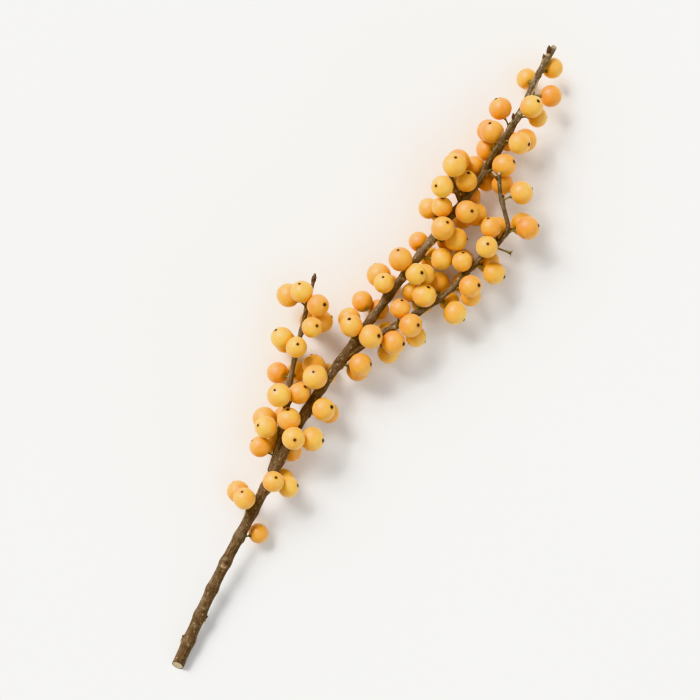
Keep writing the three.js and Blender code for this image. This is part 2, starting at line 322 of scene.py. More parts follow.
berries = bud_berries()
rests = np.zeros(len(berries["radius"]), bool)
for node in RESTING_NODES:
    members = [i for i, own in enumerate(berries["node"]) if own == node]
    rests[min(members, key=lambda i: berries["centre"][i, 2])] = True
print(len(rests), "berries have budded, and", int(rests.sum()), "of them will rest on the table")

# %% [markdown]
# Real berries jostle: they grow until they touch, and push each other aside. They also
# stay off the wood, so the wood is turned into a string of points first, each with the
# wood's radius there. Berries, stalks and wood can then all push in one and the same
# way: a point, a distance, and how much too short that distance is.

# %% What pushes a berry
WOOD_STEP = 2  # between two points of the wood
TOUCHING = 1e-6  # least length, so that nothing is divided by zero


def wood_points():
    """Points down the middle of each shoot and on through the bud of an uncut tip, and
    the wood's radius at each."""
    point, width = [], []
    for shoot in SHOOTS.values():
        bud = 0 if shoot["cut_tip"] else BUD_LENGTH * TIP_BUD_SIZE
        places = np.arange(int((shoot["span"] + bud) // WOOD_STEP) + 1) * WOOD_STEP
        point.append(along(shoot, places))
        width.append(wood_radius(shoot, places))
    return np.concatenate(point), np.concatenate(width)


def push_off(centre, other, amount):
    """The sum, for each berry, of unit steps away from the other points, times amounts."""
    apart = centre[:, None] - other[None]
    length = np.maximum(np.linalg.norm(apart, axis=2), TOUCHING)
    return np.einsum("ijk,ij->ik", apart, amount(length) / length)


wood_point, wood_width = wood_points()
print("the wood is a string of", len(wood_point), "points")

# %% [markdown]
# Nine hundred small rounds of pushing settle the berries. In each round every berry is
# pushed off its neighbours, off the wood and off other stalks, and its own stalk draws
# it back. Whole arrays of distances are pushed at once, which takes seconds in place of
# minutes.

# %% Let the berries settle
SETTLE_ROUNDS = 900
SETTLE_SHARE = 0.32  # how much of the summed pushes a round applies
PULL_FADE = 500  # rounds over which the pull of the stalks fades
LEAST_PULL = 0.06
STALK_CHECKS = (0.35, 0.7)  # where along a stalk other berries are kept off it


def settle(berries, rests):
    """Moves the berries until none is in another, in the wood, across another's stalk or
    in the table. A round adds up every push and then applies a share of the sum."""
    root, stalk, radius = berries["root"], berries["stalk"], berries["radius"]
    centre, cluster = berries["centre"].copy(), np.array(berries["cluster"])
    together = cluster[:, None] == cluster[None]
    order = np.arange(len(radius))
    step = np.abs(order[:, None] - order[None])
    neighbours = together & (step == 1)
    itself = step == 0
    wanted = radius[:, None] + radius[None] + np.where(together, -PRESS, CLEAR)
    off_wood = radius[:, None] + wood_width[None] + WOOD_CLEAR
    off_stalk = (radius + STALK_RADIUS + WOOD_CLEAR)[:, None]

    def from_berries(length):
        """Half of what a pair falls short of its wanted distance. Neighbours on one scar
        are also drawn together."""
        short = wanted - length
        return np.where(((short > 0) | neighbours) & ~itself, short / 2, 0)

    for round_number in range(SETTLE_ROUNDS):
        pull = max(LEAST_PULL, 1 - round_number / PULL_FADE)
        own = centre - root
        length = np.linalg.norm(own, axis=1)
        short = stalk + radius - length
        moves = own * (pull * short / np.maximum(length, TOUCHING))[:, None]
        moves += push_off(centre, centre, from_berries)
        for part in STALK_CHECKS:
            reach = (part * stalk / (stalk + radius))[:, None]
            on_stalk = root + own * reach
            moves += push_off(centre, on_stalk,
                              lambda far: np.where(itself, 0, np.maximum(off_stalk - far, 0)))
        moves += push_off(centre, wood_point, lambda far: np.maximum(off_wood - far, 0))
        centre = centre + moves * SETTLE_SHARE
        free = np.maximum(centre[:, 2], radius + HOVER)
        centre[:, 2] = np.where(rests, radius - SINK, free)
    return centre


berries["centre"] = settle(berries, rests)
berries["axis"] = unit(berries["centre"] - berries["root"])
print("the lowest berry's centre is", round(berries["centre"][:, 2].min(), 2), "mm up")

# %% [markdown]
# The plain solids were settled by the same rule in another program. Before anything is
# built on these places, each cluster is set beside the box of its solid: a slip in one
# of the sizes above would show here as a gap of whole millimetres.

# %% Compare the clusters with the solids
cluster_names = list(dict.fromkeys(berries["cluster"]))


def cluster_miss(name):
    """How far the middle of a cluster's berries is from the middle of its plain solid."""
    low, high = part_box(name)
    own = [i for i, cluster in enumerate(berries["cluster"]) if cluster == name]
    centre, radius = berries["centre"][own], berries["radius"][own][:, None]
    middle = ((centre - radius).min(axis=0) + (centre + radius).max(axis=0)) / 2
    solid = (np.array(low) + np.array(high)) / 2 / MM
    return np.linalg.norm((middle - FOOTPRINT_MIDDLE - solid)[:2])


misses = [cluster_miss(name) for name in cluster_names]
print("the middle of a cluster is at most", round(max(misses), 2), "mm from its solid's")

# %% [markdown]
# Every piece here is made of closed tubes: rings of points with a point at each end. A
# berry is such a tube that swells and closes, and so are a bud, a stalk and the bark of
# a shoot. The faces of a tube depend only on how many rings and columns it has, so they
# are numbered once for all tubes of a piece.


# %% The faces of a tube
def tube_faces(rows, columns):
    """Corners of a tube's quads, and of the triangles that close its ends. A quad goes
    round, then along, so that it faces outward. The points are numbered ring by ring,
    then the first end, then the last."""
    ring = np.arange(rows * columns).reshape(rows, columns)
    beside = np.roll(ring, -1, axis=1)
    quads = np.stack([ring[:-1], beside[:-1], beside[1:], ring[1:]], axis=-1).reshape(-1, 4)
    first = np.full(columns, rows * columns)
    start_fan = np.stack([beside[0], ring[0], first], axis=-1)
    end_fan = np.stack([ring[-1], beside[-1], first + 1], axis=-1)
    return quads, np.concatenate([start_fan, end_fan])


quads, fans = tube_faces(3, 4)
print("a tube of 3 rings of 4 points has", len(quads), "quads and", len(fans), "triangles")

# %% [markdown]
# One maker turns rings into a piece. It keeps everything above the table, carries the
# points to their place in metres, and stores extra values at the points, such as how
# ripe a berry is, for the materials. The object itself stays at the origin: its place is
# in its mesh, so patterns that are read from the object's own coordinates never slide.

# %% The maker of pieces
TABLE_ROUND = 0.03  # rounding where the table flattens something, in millimetres


def below(value, limit, rounding):
    """Value, held under a limit with a rounded corner: a soft minimum."""
    return value - rounding * np.logaddexp(0, (value - limit) / rounding)


def make_piece(name, rings, ends, values, materials, replaced=None):
    """Puts tubes into one mesh. rings is (tubes, rows, columns, 3) and ends is
    (tubes, 2, 3), both in millimetres of the routes. Each of values is (tubes, points)
    or (tubes, points, 3), in the order rings then ends."""
    tubes, rows, columns = rings.shape[:3]
    size = rows * columns + 2
    points = np.concatenate([rings.reshape(tubes, -1, 3), ends], axis=1)
    points[..., 2] = -below(-points[..., 2], 0, TABLE_ROUND)
    points = ((points - FOOTPRINT_MIDDLE) * MM).reshape(-1, 3)
    shift = np.arange(tubes)[:, None, None] * size
    quads, fans = tube_faces(rows, columns)
    quads, fans = (quads + shift).reshape(-1, 4), (fans + shift).reshape(-1, 3)
    starts = np.concatenate([np.arange(len(quads)) * 4,
                             quads.size + np.arange(len(fans)) * 3])
    mesh = bpy.data.meshes.new(name)
    mesh.vertices.add(len(points))
    mesh.vertices.foreach_set("co", points.ravel())
    mesh.loops.add(quads.size + fans.size)
    mesh.loops.foreach_set("vertex_index", np.concatenate([quads.ravel(), fans.ravel()]))
    mesh.polygons.add(len(starts))
    mesh.polygons.foreach_set("loop_start", starts)
    for key, value in values.items():
        kind, field = ("FLOAT_VECTOR", "vector") if value.ndim == 3 else ("FLOAT", "value")
        mesh.attributes.new(key, kind, "POINT").data.foreach_set(field, value.ravel())
    mesh.update(calc_edges=True)
    mesh.validate()
    mesh.shade_smooth()
    for material in materials:
        mesh.materials.append(material)
    piece = bpy.data.objects.new(name, mesh)
    bpy.context.scene.collection.objects.link(piece)
    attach(piece, "root")
    if replaced:
        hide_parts(replaced)
    return piece


def count_triangles(pieces):
    """Triangles of some pieces: each face gives its corners less two."""
    return sum(len(p.data.loops) - 2 * len(p.data.polygons) for p in pieces)


print("under a limit of 1,", [round(float(below(v, 1, 0.1)), 2) for v in (0.5, 1, 3)],
      "is what becomes of 0.5, 1 and 3")

# %% [markdown]
# Berries, stigmas, stars and buds are all turned shapes: rings of points that go round
# an axis, each at some distance from it and some height on it. Distance and height are
# whole arrays here, and may also change on the way round, so that one formula gives a
# berry's dents, a stigma's lobes, a star's points and a bud's scales.


# %% Shapes turned round an axis
def round_turns(columns):
    """Angles of points evenly spaced round a ring."""
    return np.arange(columns) / columns * TURN


def square_to(axis):
    """Two directions square to each axis and to each other: the first is level."""
    side = unit(np.cross(axis, [0.0, 0.0, 1.0]))
    return side, np.cross(axis, side)


def turned(wide, high, turn, axis, base):
    """Rings round axes: from the base up the axis by the height, and out from it by the
    width, times the cosine of the turn one way and its sine the other."""
    side, over = square_to(axis)
    rings = (wide * np.cos(turn))[..., None] * side[:, None, None]
    rings = rings + (wide * np.sin(turn))[..., None] * over[:, None, None]
    rings = rings + high[..., None] * axis[:, None, None]
    return rings + base[:, None, None]


def on_axis(reach, axis, base):
    """Points on axes: the base plus a reach along the axis."""
    return base[:, None] + reach[..., None] * axis[:, None]


print("four points go round a ring at", np.degrees(round_turns(4)).tolist(), "degrees")

# %% [markdown]
# Materials are networks of nodes. A short helper joins them, so that each finish below
# reads from top to bottom: where the pattern is read, what the pattern is, and which
# socket of the shader it drives. Most natural surfaces are one colour over another
# where something is so, in a crack or on a ridge. A coat does exactly that.


# %% Helpers for finishes
class Finish:
    """A material being built. What a node takes in is a plain value or a link, and a link
    is a tuple of a node and the name or number of its output."""

    def __init__(self, name):
        self.material = bpy.data.materials.new(name)
        self.material.use_nodes = True
        self.tree = self.material.node_tree
        self.shader = self.tree.nodes["Principled BSDF"]

    def node(self, kind, inputs=None, **settings):
        """A new node with its settings and inputs."""
        made = self.tree.nodes.new(kind)
        for key, value in settings.items():
            setattr(made, key, value)
        for key, value in (inputs or {}).items():
            self.join(made, key, value)
        return made

    def join(self, made, key, value):
        """Links an input, or sets it where the value is plain."""
        if isinstance(value, tuple) and isinstance(value[0], bpy.types.Node):
            self.tree.links.new(value[0].outputs[value[1]], made.inputs[key])
        else:
            made.inputs[key].default_value = value

    def place(self):
        """Where on the piece a point is, in metres."""
        return self.node("ShaderNodeTexCoord"), "Object"

    def value(self, name, output="Fac"):
        """A value that the piece keeps at its points."""
        return self.node("ShaderNodeAttribute", attribute_name=name), output

    def noise(self, scale, detail=3.0, rough=0.6, place=None):
        """Soft random patches, about one over scale wide, with finer ones added."""
        inputs = {"Vector": place or self.place(), "Scale": scale, "Detail": detail,
                  "Roughness": rough}
        return self.node("ShaderNodeTexNoise", inputs), "Fac"

    def range(self, source, low, high, to_low=0.0, to_high=1.0):
        """A value between low and high, spread from to_low to to_high."""
        inputs = {"Value": source, "From Min": low, "From Max": high,
                  "To Min": to_low, "To Max": to_high}
        return self.node("ShaderNodeMapRange", inputs), "Result"

    def math(self, operation, a, b=0.0):
        """A sum, a product or a sine."""
        return self.node("ShaderNodeMath", {0: a, 1: b}, operation=operation), "Value"

    def mix(self, share, a, b):
        """One colour turning into another. The mix node's colours are its inputs 6 and 7
        and its output 2."""
        return self.node("ShaderNodeMix", {"Factor": share, 6: a, 7: b}, data_type="RGBA"), 2

    def coat(self, under, source, reach, amount, colour):
        """A colour over the one under it. Its share goes from the first amount to the
        second while the source goes through its reach."""
        return self.mix(self.range(source, *reach, *amount), under, colour)

    def bump(self, height, distance, strength=0.6, before=None):
        """Small relief that shows only in the light, over the relief that came before."""
        inputs = {"Height": height, "Distance": distance, "Strength": strength}
        if before:
            inputs["Normal"] = before
        return self.node("ShaderNodeBump", inputs), "Normal"

    def end(self, **inputs):
        """Sets or links the shader's own sockets, and hands over the material."""
        for key, value in inputs.items():
            self.join(self.shader, key.replace("_", " "), value)
        print(self.material.name, "is made with", len(self.tree.nodes), "nodes")
        return self.material


print("helpers of a finish:", [name for name in vars(Finish) if not name.startswith("_")])

# %% [markdown]
# Colours below are named as the eye sees them, in even steps from 0 to 255, as on a
# paint card. A shader reckons with amounts of light, which grow much faster than the
# eye's steps, so each colour is translated once.


# %% Colours
def tint(red, green, blue):
    """A colour as the eye names it, from 0 to 255, turned into light."""
    share = np.array([red, green, blue]) / 255
    light = np.where(share <= 0.04045, share / 12.92, ((share + 0.055) / 1.055) ** 2.4)
    return (*light.tolist(), 1.0)


print("a middle grey, tint 128, reflects", round(tint(128, 128, 128)[0], 3), "of the light")

# %% [markdown]
# A ripe berry is waxy and a little translucent, golden towards the scar of its flower and
# deeper orange towards its stalk. That deeper orange is painted shade on the side turned
# to the wood, over the berry's own deeper colour there. Light that enters the flesh comes
# out redder, which is why the shaded side glows: subsurface scattering does that. The
# bloom of wax pales the rim, and sheen does that. Noise mottles the skin, each berry has
# its own ripeness, rust specks sit in a few cells of a Voronoi pattern, and a dark ring
# surrounds the scar of the flower.

# %% Finish of the berry skin
BERRY_GOLD, BERRY_ORANGE = tint(243, 203, 88), tint(229, 140, 26)
BERRY_FLECK, BERRY_SPECK = tint(246, 216, 126), tint(150, 84, 26)
FLOWER_RING, STALK_RING = tint(158, 88, 24), tint(176, 130, 44)
FLESH_REACH = (1.0, 0.42, 0.12)  # how far red, green and blue light travel in the flesh
FLESH_DEPTH = 0.0022  # that reach in metres


def berry_finish():
    """Gold turns to orange by the sum of ripeness, patches and nearness to the stalk, and
    a coat is added for each small mark of the skin. The orange near the stalk is painted
    shade on the side turned to the wood, over the berry's own deeper colour there."""
    finish = Finish("ripe_berry_skin")
    from_flower = finish.value("from_flower")
    patches = finish.noise(140.0, 2.0, 0.5)
    shade = finish.math("ADD", finish.range(finish.value("ripeness"), 0, 1, 0, 0.45),
                        finish.range(patches, 0.35, 0.7, 0, 0.35))
    # painted shade: deeper orange towards the stalk, on the side turned to the wood
    shade = finish.math("ADD", shade, finish.range(from_flower, 0.8, 2.9, 0, 0.4))
    skin = finish.mix(shade, BERRY_GOLD, BERRY_ORANGE)
    skin = finish.coat(skin, finish.noise(1500.0, 4.0), (0.56, 0.72), (0, 0.3), BERRY_FLECK)
    cells = finish.node("ShaderNodeTexVoronoi", {"Vector": finish.place(), "Scale": 420.0})
    rare = finish.node("ShaderNodeSeparateColor", {"Color": (cells, "Color")})
    speck = finish.math("MULTIPLY", finish.range((cells, "Distance"), 0.07, 0.12, 0.7, 0),
                        finish.range((rare, "Red"), 0.8, 0.85))
    skin = finish.mix(speck, skin, BERRY_SPECK)
    skin = finish.coat(skin, from_flower, (0.13, 0.3), (0.8, 0), FLOWER_RING)
    skin = finish.coat(skin, from_flower, (2.72, 3.05), (0, 0.55), STALK_RING)
    waxy = finish.range(finish.noise(420.0), 0.3, 0.7, 0.4, 0.54)
    peel = finish.bump(finish.noise(2600.0, 2.0, 0.5), 0.00002, 0.35)
    return finish.end(
        Base_Color=skin, Roughness=waxy, Normal=peel, Subsurface_Weight=0.3,
        Subsurface_Radius=FLESH_REACH, Subsurface_Scale=FLESH_DEPTH,
        Specular_IOR_Level=0.8, Sheen_Weight=0.45, Sheen_Roughness=0.3)


berry_skin = berry_finish()

# %% [markdown]
# A berry is almost a sphere. What makes it a fruit is what departs from round: it is a
# little flat or a little long, and dented where the stalk goes in and where the flower
# was. A grid of two angles holds all of that: one angle runs from the flower's scar to
# the stalk, and the other runs round. Blender's own sphere could be pushed by hand, but
# a hundred berries would then need a hundred pushes.

# %% The berries
BERRY_ROWS = 30
BERRY_COLUMNS = 40
ROUNDNESS = 0.025  # how much a berry's length may differ from its width, as a share
FLAT_BIAS = 0.15  # makes flat berries a little more common than long ones
LUMPS = 0.007  # height of the low swellings, as a share of the radius
FLOWER_DENT = (0.03, 0.2)  # depth as a share of the radius, and width in radians
STALK_DENT = (0.075, 0.34)


def berry_shapes(berries):
    """Points of all berries, and each point's angle from the flower's scar. The distance
    from the centre is the radius, times one plus a swelling of the poles, plus sines of
    low order, less a bell-shaped dent at each pole."""
    count = len(berries["radius"])
    angle = np.linspace(np.pi, 0, BERRY_ROWS + 2)[None, :, None]
    turn = round_turns(BERRY_COLUMNS)
    long, phase_a, phase_b, phase_c = chance.random((4, count, 1, 1))
    poles = ROUNDNESS * (2 * long - 1 - FLAT_BIAS)
    share = 1 + poles * (1.5 * np.cos(angle) ** 2 - 0.5)
    share = share + LUMPS * np.sin(angle) ** 2 * np.cos(2 * turn + TURN * phase_a)
    share = share + LUMPS * np.sin(angle) ** 3 * np.cos(3 * turn + TURN * phase_b)
    share = share + LUMPS * np.sin(2 * angle) * np.cos(turn + TURN * phase_c)
    for (depth, width), away in ((FLOWER_DENT, angle), (STALK_DENT, np.pi - angle)):
        share = share - depth * np.exp(-((away / width) ** 2))
    reach = berries["radius"][:, None, None] * share
    points = turned(reach * np.sin(angle), reach * np.cos(angle), turn, berries["axis"],
                    berries["centre"])
    return points, np.broadcast_to(angle, reach.shape)


skins, from_flower = berry_shapes(berries)
print("one berry has", (BERRY_ROWS - 1) * BERRY_COLUMNS * 2 + 2 * BERRY_COLUMNS, "triangles")

# %% [markdown]
# Ripe berries that crowd one scar press flat against each other. Two spheres cross in a
# circle, and the flat of the contact lies in that circle's plane. Each berry is held
# back there with a rounded corner, and a hair of air is left so that the skins, which
# are separate surfaces, never share a place.

# %% Press the berries together
CONTACT_ROUND = 0.07  # rounding at the edge of a flat contact, in millimetres
CONTACT_GAP = 0.015  # air in a contact, on each side


def press_together(points, berries):
    """Holds berries of a cluster behind the plane where their round outlines cross: how
    far a point lies towards the neighbour is put under a soft limit."""
    centre, radius, contacts = berries["centre"], berries["radius"], 0
    for i, cluster in enumerate(berries["cluster"]):
        for j, other in enumerate(berries["cluster"]):
            far = np.linalg.norm(centre[j] - centre[i])
            if i == j or cluster != other or far > radius[i] + radius[j]:
                continue
            towards = (centre[j] - centre[i]) / far
            plane = (far**2 + radius[i] ** 2 - radius[j] ** 2) / (2 * far) - CONTACT_GAP
            out = (points[i] - centre[i]) @ towards
            held = below(out, plane, CONTACT_ROUND)
            points[i] += (held - out)[..., None] * towards
            contacts += 1
    print("berries are pressed flat in", contacts // 2, "places")
    return points


skins = press_together(skins, berries)

# %% [markdown]
# The berries of one leaf scar make one piece, which takes the place of their plain
# solid. Its points keep the angle from the flower's scar and the berry's ripeness,
# because the skin's colour follows both.

# %% Pieces of berries
ripeness = chance.random(len(rests))


def cluster_piece(name):
    """The berries of one cluster: ring rows from stalk to flower, and the two poles."""
    own = [i for i, cluster in enumerate(berries["cluster"]) if cluster == name]
    shape, angle = skins[own], from_flower[own]
    rings = shape[:, 1:-1]
    ends = np.stack([shape[:, 0].mean(axis=1), shape[:, -1].mean(axis=1)], axis=1)
    angles = np.concatenate([angle[:, 1:-1].reshape(len(own), -1),
                             np.tile([np.pi, 0.0], (len(own), 1))], axis=1)
    ripe = np.broadcast_to(ripeness[own][:, None], angles.shape)
    values = {"from_flower": angles, "ripeness": ripe}
    new_name = name.replace("berries", "ripe_berries")
    return make_piece(new_name, rings, ends, values, [berry_skin], name)


clusters = [cluster_piece(name) for name in cluster_names]
print(len(clusters), "clusters with", count_triangles(clusters), "triangles")

# %% [markdown]
# What the flower leaves behind dries hard and rough, and so does the stalk. One finish
# serves for all of it, with two colours and a grain for each: fine for the stigma, and
# coarser for the star and the stalk.


# %% Finishes of the dried flower parts
def dried_finish(name, dark, pale, grain):
    """Two colours mixed by noise, and relief from noise twice as fine."""
    finish = Finish(name)
    colour = finish.mix(finish.range(finish.noise(grain), 0.35, 0.65), dark, pale)
    relief = finish.bump(finish.noise(grain * 2), 0.00008)
    return finish.end(Base_Color=colour, Roughness=0.72, Normal=relief)


stigma_dark = dried_finish("dried_stigma", tint(26, 16, 10), tint(62, 42, 26), 2200.0)
stalk_green = dried_finish("berry_stalk", tint(90, 70, 32), tint(146, 134, 70), 900.0)
star_olive = dried_finish("dried_star", tint(78, 60, 30), tint(132, 116, 62), 1500.0)

# %% [markdown]
# At the far end of each berry sits the dried stigma of its flower, a black button about
# a millimetre and a half wide. It is tiny, but a berry without it looks like a bead. It
# is a low lobed dome with few faces, because there are over a hundred of them.

# %% The stigmas
STIGMA_RADIUS = 0.74
STIGMA_HEIGHT = 0.34
STIGMA_SIZES = (0.82, 1.22)  # smallest and largest, as a share
STIGMA_HOLLOW = 0.8  # height of the middle, as a share of the innermost ring's
STIGMA_COLUMNS = 18
STIGMA_LOBES = {6: 0.09, 3: 0.05, 5: 0.04}  # waves round the edge, and how high each is
STIGMA_PROFILE = np.array([  # share of the radius, share of the height
    [0.75, -0.9], [1.0, 0.0], [0.9, 0.7], [0.62, 1.0], [0.34, 0.8], [0.14, 0.35],
])
berry_size = berries["radius"] / (BERRY_DIAMETER / 2)


def stigma_shapes():
    """Rings and ends of all stigmas. A ring's radius swells and shrinks by cosines of
    six, three and five turns, so no two are alike, and the middle is a little hollow."""
    turn = round_turns(STIGMA_COLUMNS)
    size = berry_size * chance.uniform(*STIGMA_SIZES, len(rests))
    lobes = 1 + sum(high * np.cos(n * turn + TURN * chance.random((len(rests), 1)))
                    for n, high in STIGMA_LOBES.items())
    wide = STIGMA_RADIUS * size[:, None] * STIGMA_PROFILE[:, 0]
    wide = wide[:, :, None] * lobes[:, None]
    high = STIGMA_HEIGHT * size[:, None] * STIGMA_PROFILE[:, 1]
    reach = np.stack([high[:, 0], high[:, -1] * STIGMA_HOLLOW], axis=1)
    axis, pole = berries["axis"], skins[:, -1].mean(axis=1)
    return turned(wide, high[:, :, None], turn, axis, pole), on_axis(reach, axis, pole)


rings, ends = stigma_shapes()
stigmas = make_piece("stigmas", rings, ends, {}, [stigma_dark])
print("stigmas have", count_triangles([stigmas]), "triangles")

# %% [markdown]
# Under each berry is what is left of the flower's green cup, a small star with six
# points that dries to olive brown. It is a flat tube, so to say: its rings lie almost on
# top of each other, and the ring at the rim reaches out in points. One stalk has lost
# its berry, and its star stands bare.

# %% The stars under the berries
BARE_STALKS = [("right", 97, (89.4, -41.7, 17.5))]  # shoot, distance, and where it ends
BARE_STAR_SIZE = 1.15
STAR_SIZES = (0.8, 1.1)
STAR_RADIUS = 0.8
STAR_POINTS = 6
STAR_REACH = 0.95  # how far its points reach past its waist
STAR_SHARPNESS = 1.4
STAR_CURL = 0.25  # how far its points curl up
STAR_ENDS = np.array([[-0.2, 0.06]])  # heights of the two points that close a star
STAR_COLUMNS = 30
STAR_PROFILE = np.array([  # share of the radius, height, and share of the points
    [0.5, -0.2, 0.0], [0.85, -0.14, 0.25], [1.0, -0.05, 1.0], [0.97, 0.03, 1.0],
    [0.6, 0.06, 0.2],
])


def star_shapes(base, axis, size):
    """Rings and ends of stars that face along axes: a ring's radius grows towards its
    points as a triangle wave raised to a power, and the points curl up a little."""
    turn = round_turns(STAR_COLUMNS)
    pointed = np.abs(1 - (turn * STAR_POINTS / TURN % 1) * 2) ** STAR_SHARPNESS
    share, lift, point = (column[:, None] for column in STAR_PROFILE.T)
    wide = share * (STAR_RADIUS + STAR_REACH * point * pointed)
    curl = lift + STAR_CURL * point * pointed
    size = size[:, None, None]
    rings = turned(size * wide, size * curl, turn, axis, base)
    return rings, on_axis(STAR_ENDS, axis, base)


bare_root = np.array([along(SHOOTS[name], distance) for name, distance, _ in BARE_STALKS])
bare_end = np.array([place for _, _, place in BARE_STALKS])
star_size = berry_size * chance.uniform(*STAR_SIZES, len(rests))
star_size = np.append(star_size, np.full(len(bare_end), BARE_STAR_SIZE))
star_base = np.concatenate([skins[:, 0].mean(axis=1), bare_end])
star_axis = np.concatenate([berries["axis"], unit(bare_end - bare_root)])
rings, ends = star_shapes(star_base, star_axis, star_size)
stars = make_piece("dried_stars", rings, ends, {}, [star_olive], "woody_stem")
print("stars have", count_triangles([stars]), "triangles")

# %% [markdown]
# A green stalk a few millimetres long carries each berry. It starts thick in the wood,
# bends a little towards the tip of the shoot, and flares into the star. A profile
# carried along a bent line gives that for all stalks at once.

# %% The stalks of the berries
STALK_ROWS = 9
STALK_COLUMNS = 8
STALK_SAG = 0.35  # how far a stalk's middle bends towards the tip of its shoot
STALK_WAIST = 0.92  # the next three are shares of the stalk's radius
STALK_FOOT = 0.75
STALK_FLARE = 0.95
FOOT_FADE = 7  # how fast the thick foot thins
FLARE_START = 0.72  # as a share of the length


def stalk_shapes(root, end, forward):
    """Rings and ends of stalks from roots to ends: a straight line plus half a sine wave
    of bend, thick at the root by a fading exponential and flared under the star."""
    t = np.linspace(0, 1, STALK_ROWS)
    path = end - root
    axis = unit(path)
    bend = forward - (forward * axis).sum(axis=1, keepdims=True) * axis
    line = root[:, None] + path[:, None] * t[None, :, None]
    line = line + np.sin(np.pi * t)[None, :, None] * bend[:, None] * STALK_SAG
    flare = STALK_FLARE * smooth_step(t, FLARE_START, 1.0)
    wide = STALK_RADIUS * (STALK_WAIST + STALK_FOOT * np.exp(-t * FOOT_FADE) + flare)
    side, over = square_to(axis)
    turn = round_turns(STALK_COLUMNS)
    ring = np.cos(turn)[:, None] * side[:, None] + np.sin(turn)[:, None] * over[:, None]
    rings = line[:, :, None] + wide[None, :, None, None] * ring[:, None]
    return rings, np.stack([root, end], axis=1)


stalk_root = np.concatenate([berries["root"], bare_root])
stalk_bend = np.concatenate([berries["forward"], np.full((len(bare_root), 3), [0, 0, 1.0])])
rings, ends = stalk_shapes(stalk_root, star_base, stalk_bend)
stalks = make_piece("berry_stalks", rings, ends, {}, [stalk_green], "woody_stem")
print("stalks have", count_triangles([stalks]), "triangles")

# %% [markdown]
# The bark is the character of the wood. On the real sprig it is brown to grey, ribbed
# along the stem, dotted with pale raised pores, and stepped at each leaf scar. A fine
# tube follows each shoot here, and three formulas push its radius in and out. The first
# is for the ribs: slow waves round the stem that sway as they run along it.

# %% Ribs of the bark
RIB_COUNTS = (3, 5, 8, 13)
RIB_HEIGHT = 0.045  # as a share of the radius
RIB_FADE = 0.6  # how much lower the narrow ribs are, as a power of their count
RIB_SUM = 1.6  # about what the heights of all ribs add up to
RIB_WIND = 0.02  # radians in a millimetre by which a rib winds round the stem
RIB_SWAY = 0.8  # radians
RIB_SWAY_SPEEDS = (0.05, 0.11)  # radians of the swaying in a millimetre


def ribs(distance, turn, radius):
    """Ribs along the wood: cosines round the stem whose phase drifts slowly along it."""
    height = np.zeros_like(radius)
    slowest, fastest = RIB_SWAY_SPEEDS
    for count in RIB_COUNTS:
        drift, start, fast, wave = chance.random(4)
        phase = TURN * start + RIB_WIND * distance * (drift - 0.5) * count
        speed = slowest + (fastest - slowest) * fast
        phase = phase + RIB_SWAY * np.sin(distance * speed + TURN * wave)
        height = height + np.cos(count * turn + phase) / count**RIB_FADE
    return height * RIB_HEIGHT * radius / RIB_SUM


print("ribs are about", round(RIB_HEIGHT * SHOOTS["main"]["radii"][0], 2), "mm high at the foot")

# %% [markdown]
# Pores let the wood breathe. They are pale, a little raised and longer than wide, and
# no two are alike. A net of cells is laid round the stem, and each cell holds one pore
# or none at a place of its own. A point only has to ask the nine cells around it, so
# hundreds of pores cost no more than nine.

# %% Pores of the bark
PORE_SPACING = 3.4  # length of a cell of the net
PORE_ROOM = 2.3  # width of a cell round the stem
PORE_SHARE = 0.72  # how many cells hold a pore
PORE_SIZES = (0.65, 1.25)
PORE_ACROSS = 0.24  # half width
PORE_ALONG = 0.4
PORE_HEIGHT = 0.1


def pores(distance, turn, radius, span):
    """How much each point is part of a pore, from 0 to 1: the largest of the bells in the
    nine nearest cells of the net."""
    around = max(4, int(round(TURN * radius.mean() / PORE_ROOM)))
    rows = int(span / PORE_SPACING) + 4
    across, up, keep, size = chance.random((4, rows, around))
    smallest, largest = PORE_SIZES
    size = smallest + (largest - smallest) * size
    keep = (keep < PORE_SHARE) * size
    row, column = distance / PORE_SPACING + 1, turn / TURN * around
    most = np.zeros_like(radius)
    for down in (-1, 0, 1):
        for beside in (-1, 0, 1):
            i = np.clip(np.floor(row).astype(int) + down, 0, rows - 1)
            j = np.floor(column).astype(int) + beside
            held = j % around
            x = (column - j - across[i, held]) / around * TURN * radius
            y = (row - i - up[i, held]) * PORE_SPACING
            far = (x / PORE_ACROSS) ** 2 + (y / PORE_ALONG) ** 2
            bell = np.exp(-((far / size[i, held] ** 2) ** 1.5))
            most = np.maximum(most, bell * keep[i, held])
    return most


print("a pore is at most", round(2 * PORE_ALONG * PORE_SIZES[1], 2), "mm long")

# %% [markdown]
# Where a leaf has dropped it leaves a scar: a half moon, pale and flat, with a dark dot
# where the sap ran. It sits on a cushion just below its bud, and two low ridges run down
# the stem from its corners. Distances on the surface, across and along from each scar,
# are all that these shapes need.

# %% Leaf scars
SCAR_BELOW = 1.5  # how far a leaf scar is below its bud
CUSHION_HEIGHT = 0.42
CUSHION_ACROSS = 1.5  # half width, and then the reach above and below
CUSHION_ABOVE = 1.9
CUSHION_BELOW = 1.2
SCAR_ACROSS = 1.15
SCAR_ALONG = 0.85
SCAR_TOP = 0.45  # where the half moon is cut off
SAP_DOT = 0.05  # spread of the dark dot in its middle, in square millimetres
RIDGE_HEIGHT = 0.06
RIDGE_LENGTH = 5
RIDGE_SPREAD = 0.12
FULL_RADIUS = 1.6  # radius of the wood on which a scar has the sizes above
SCAR_SIZES = (0.6, 1.25)  # least and most of what thinner or thicker wood makes of them


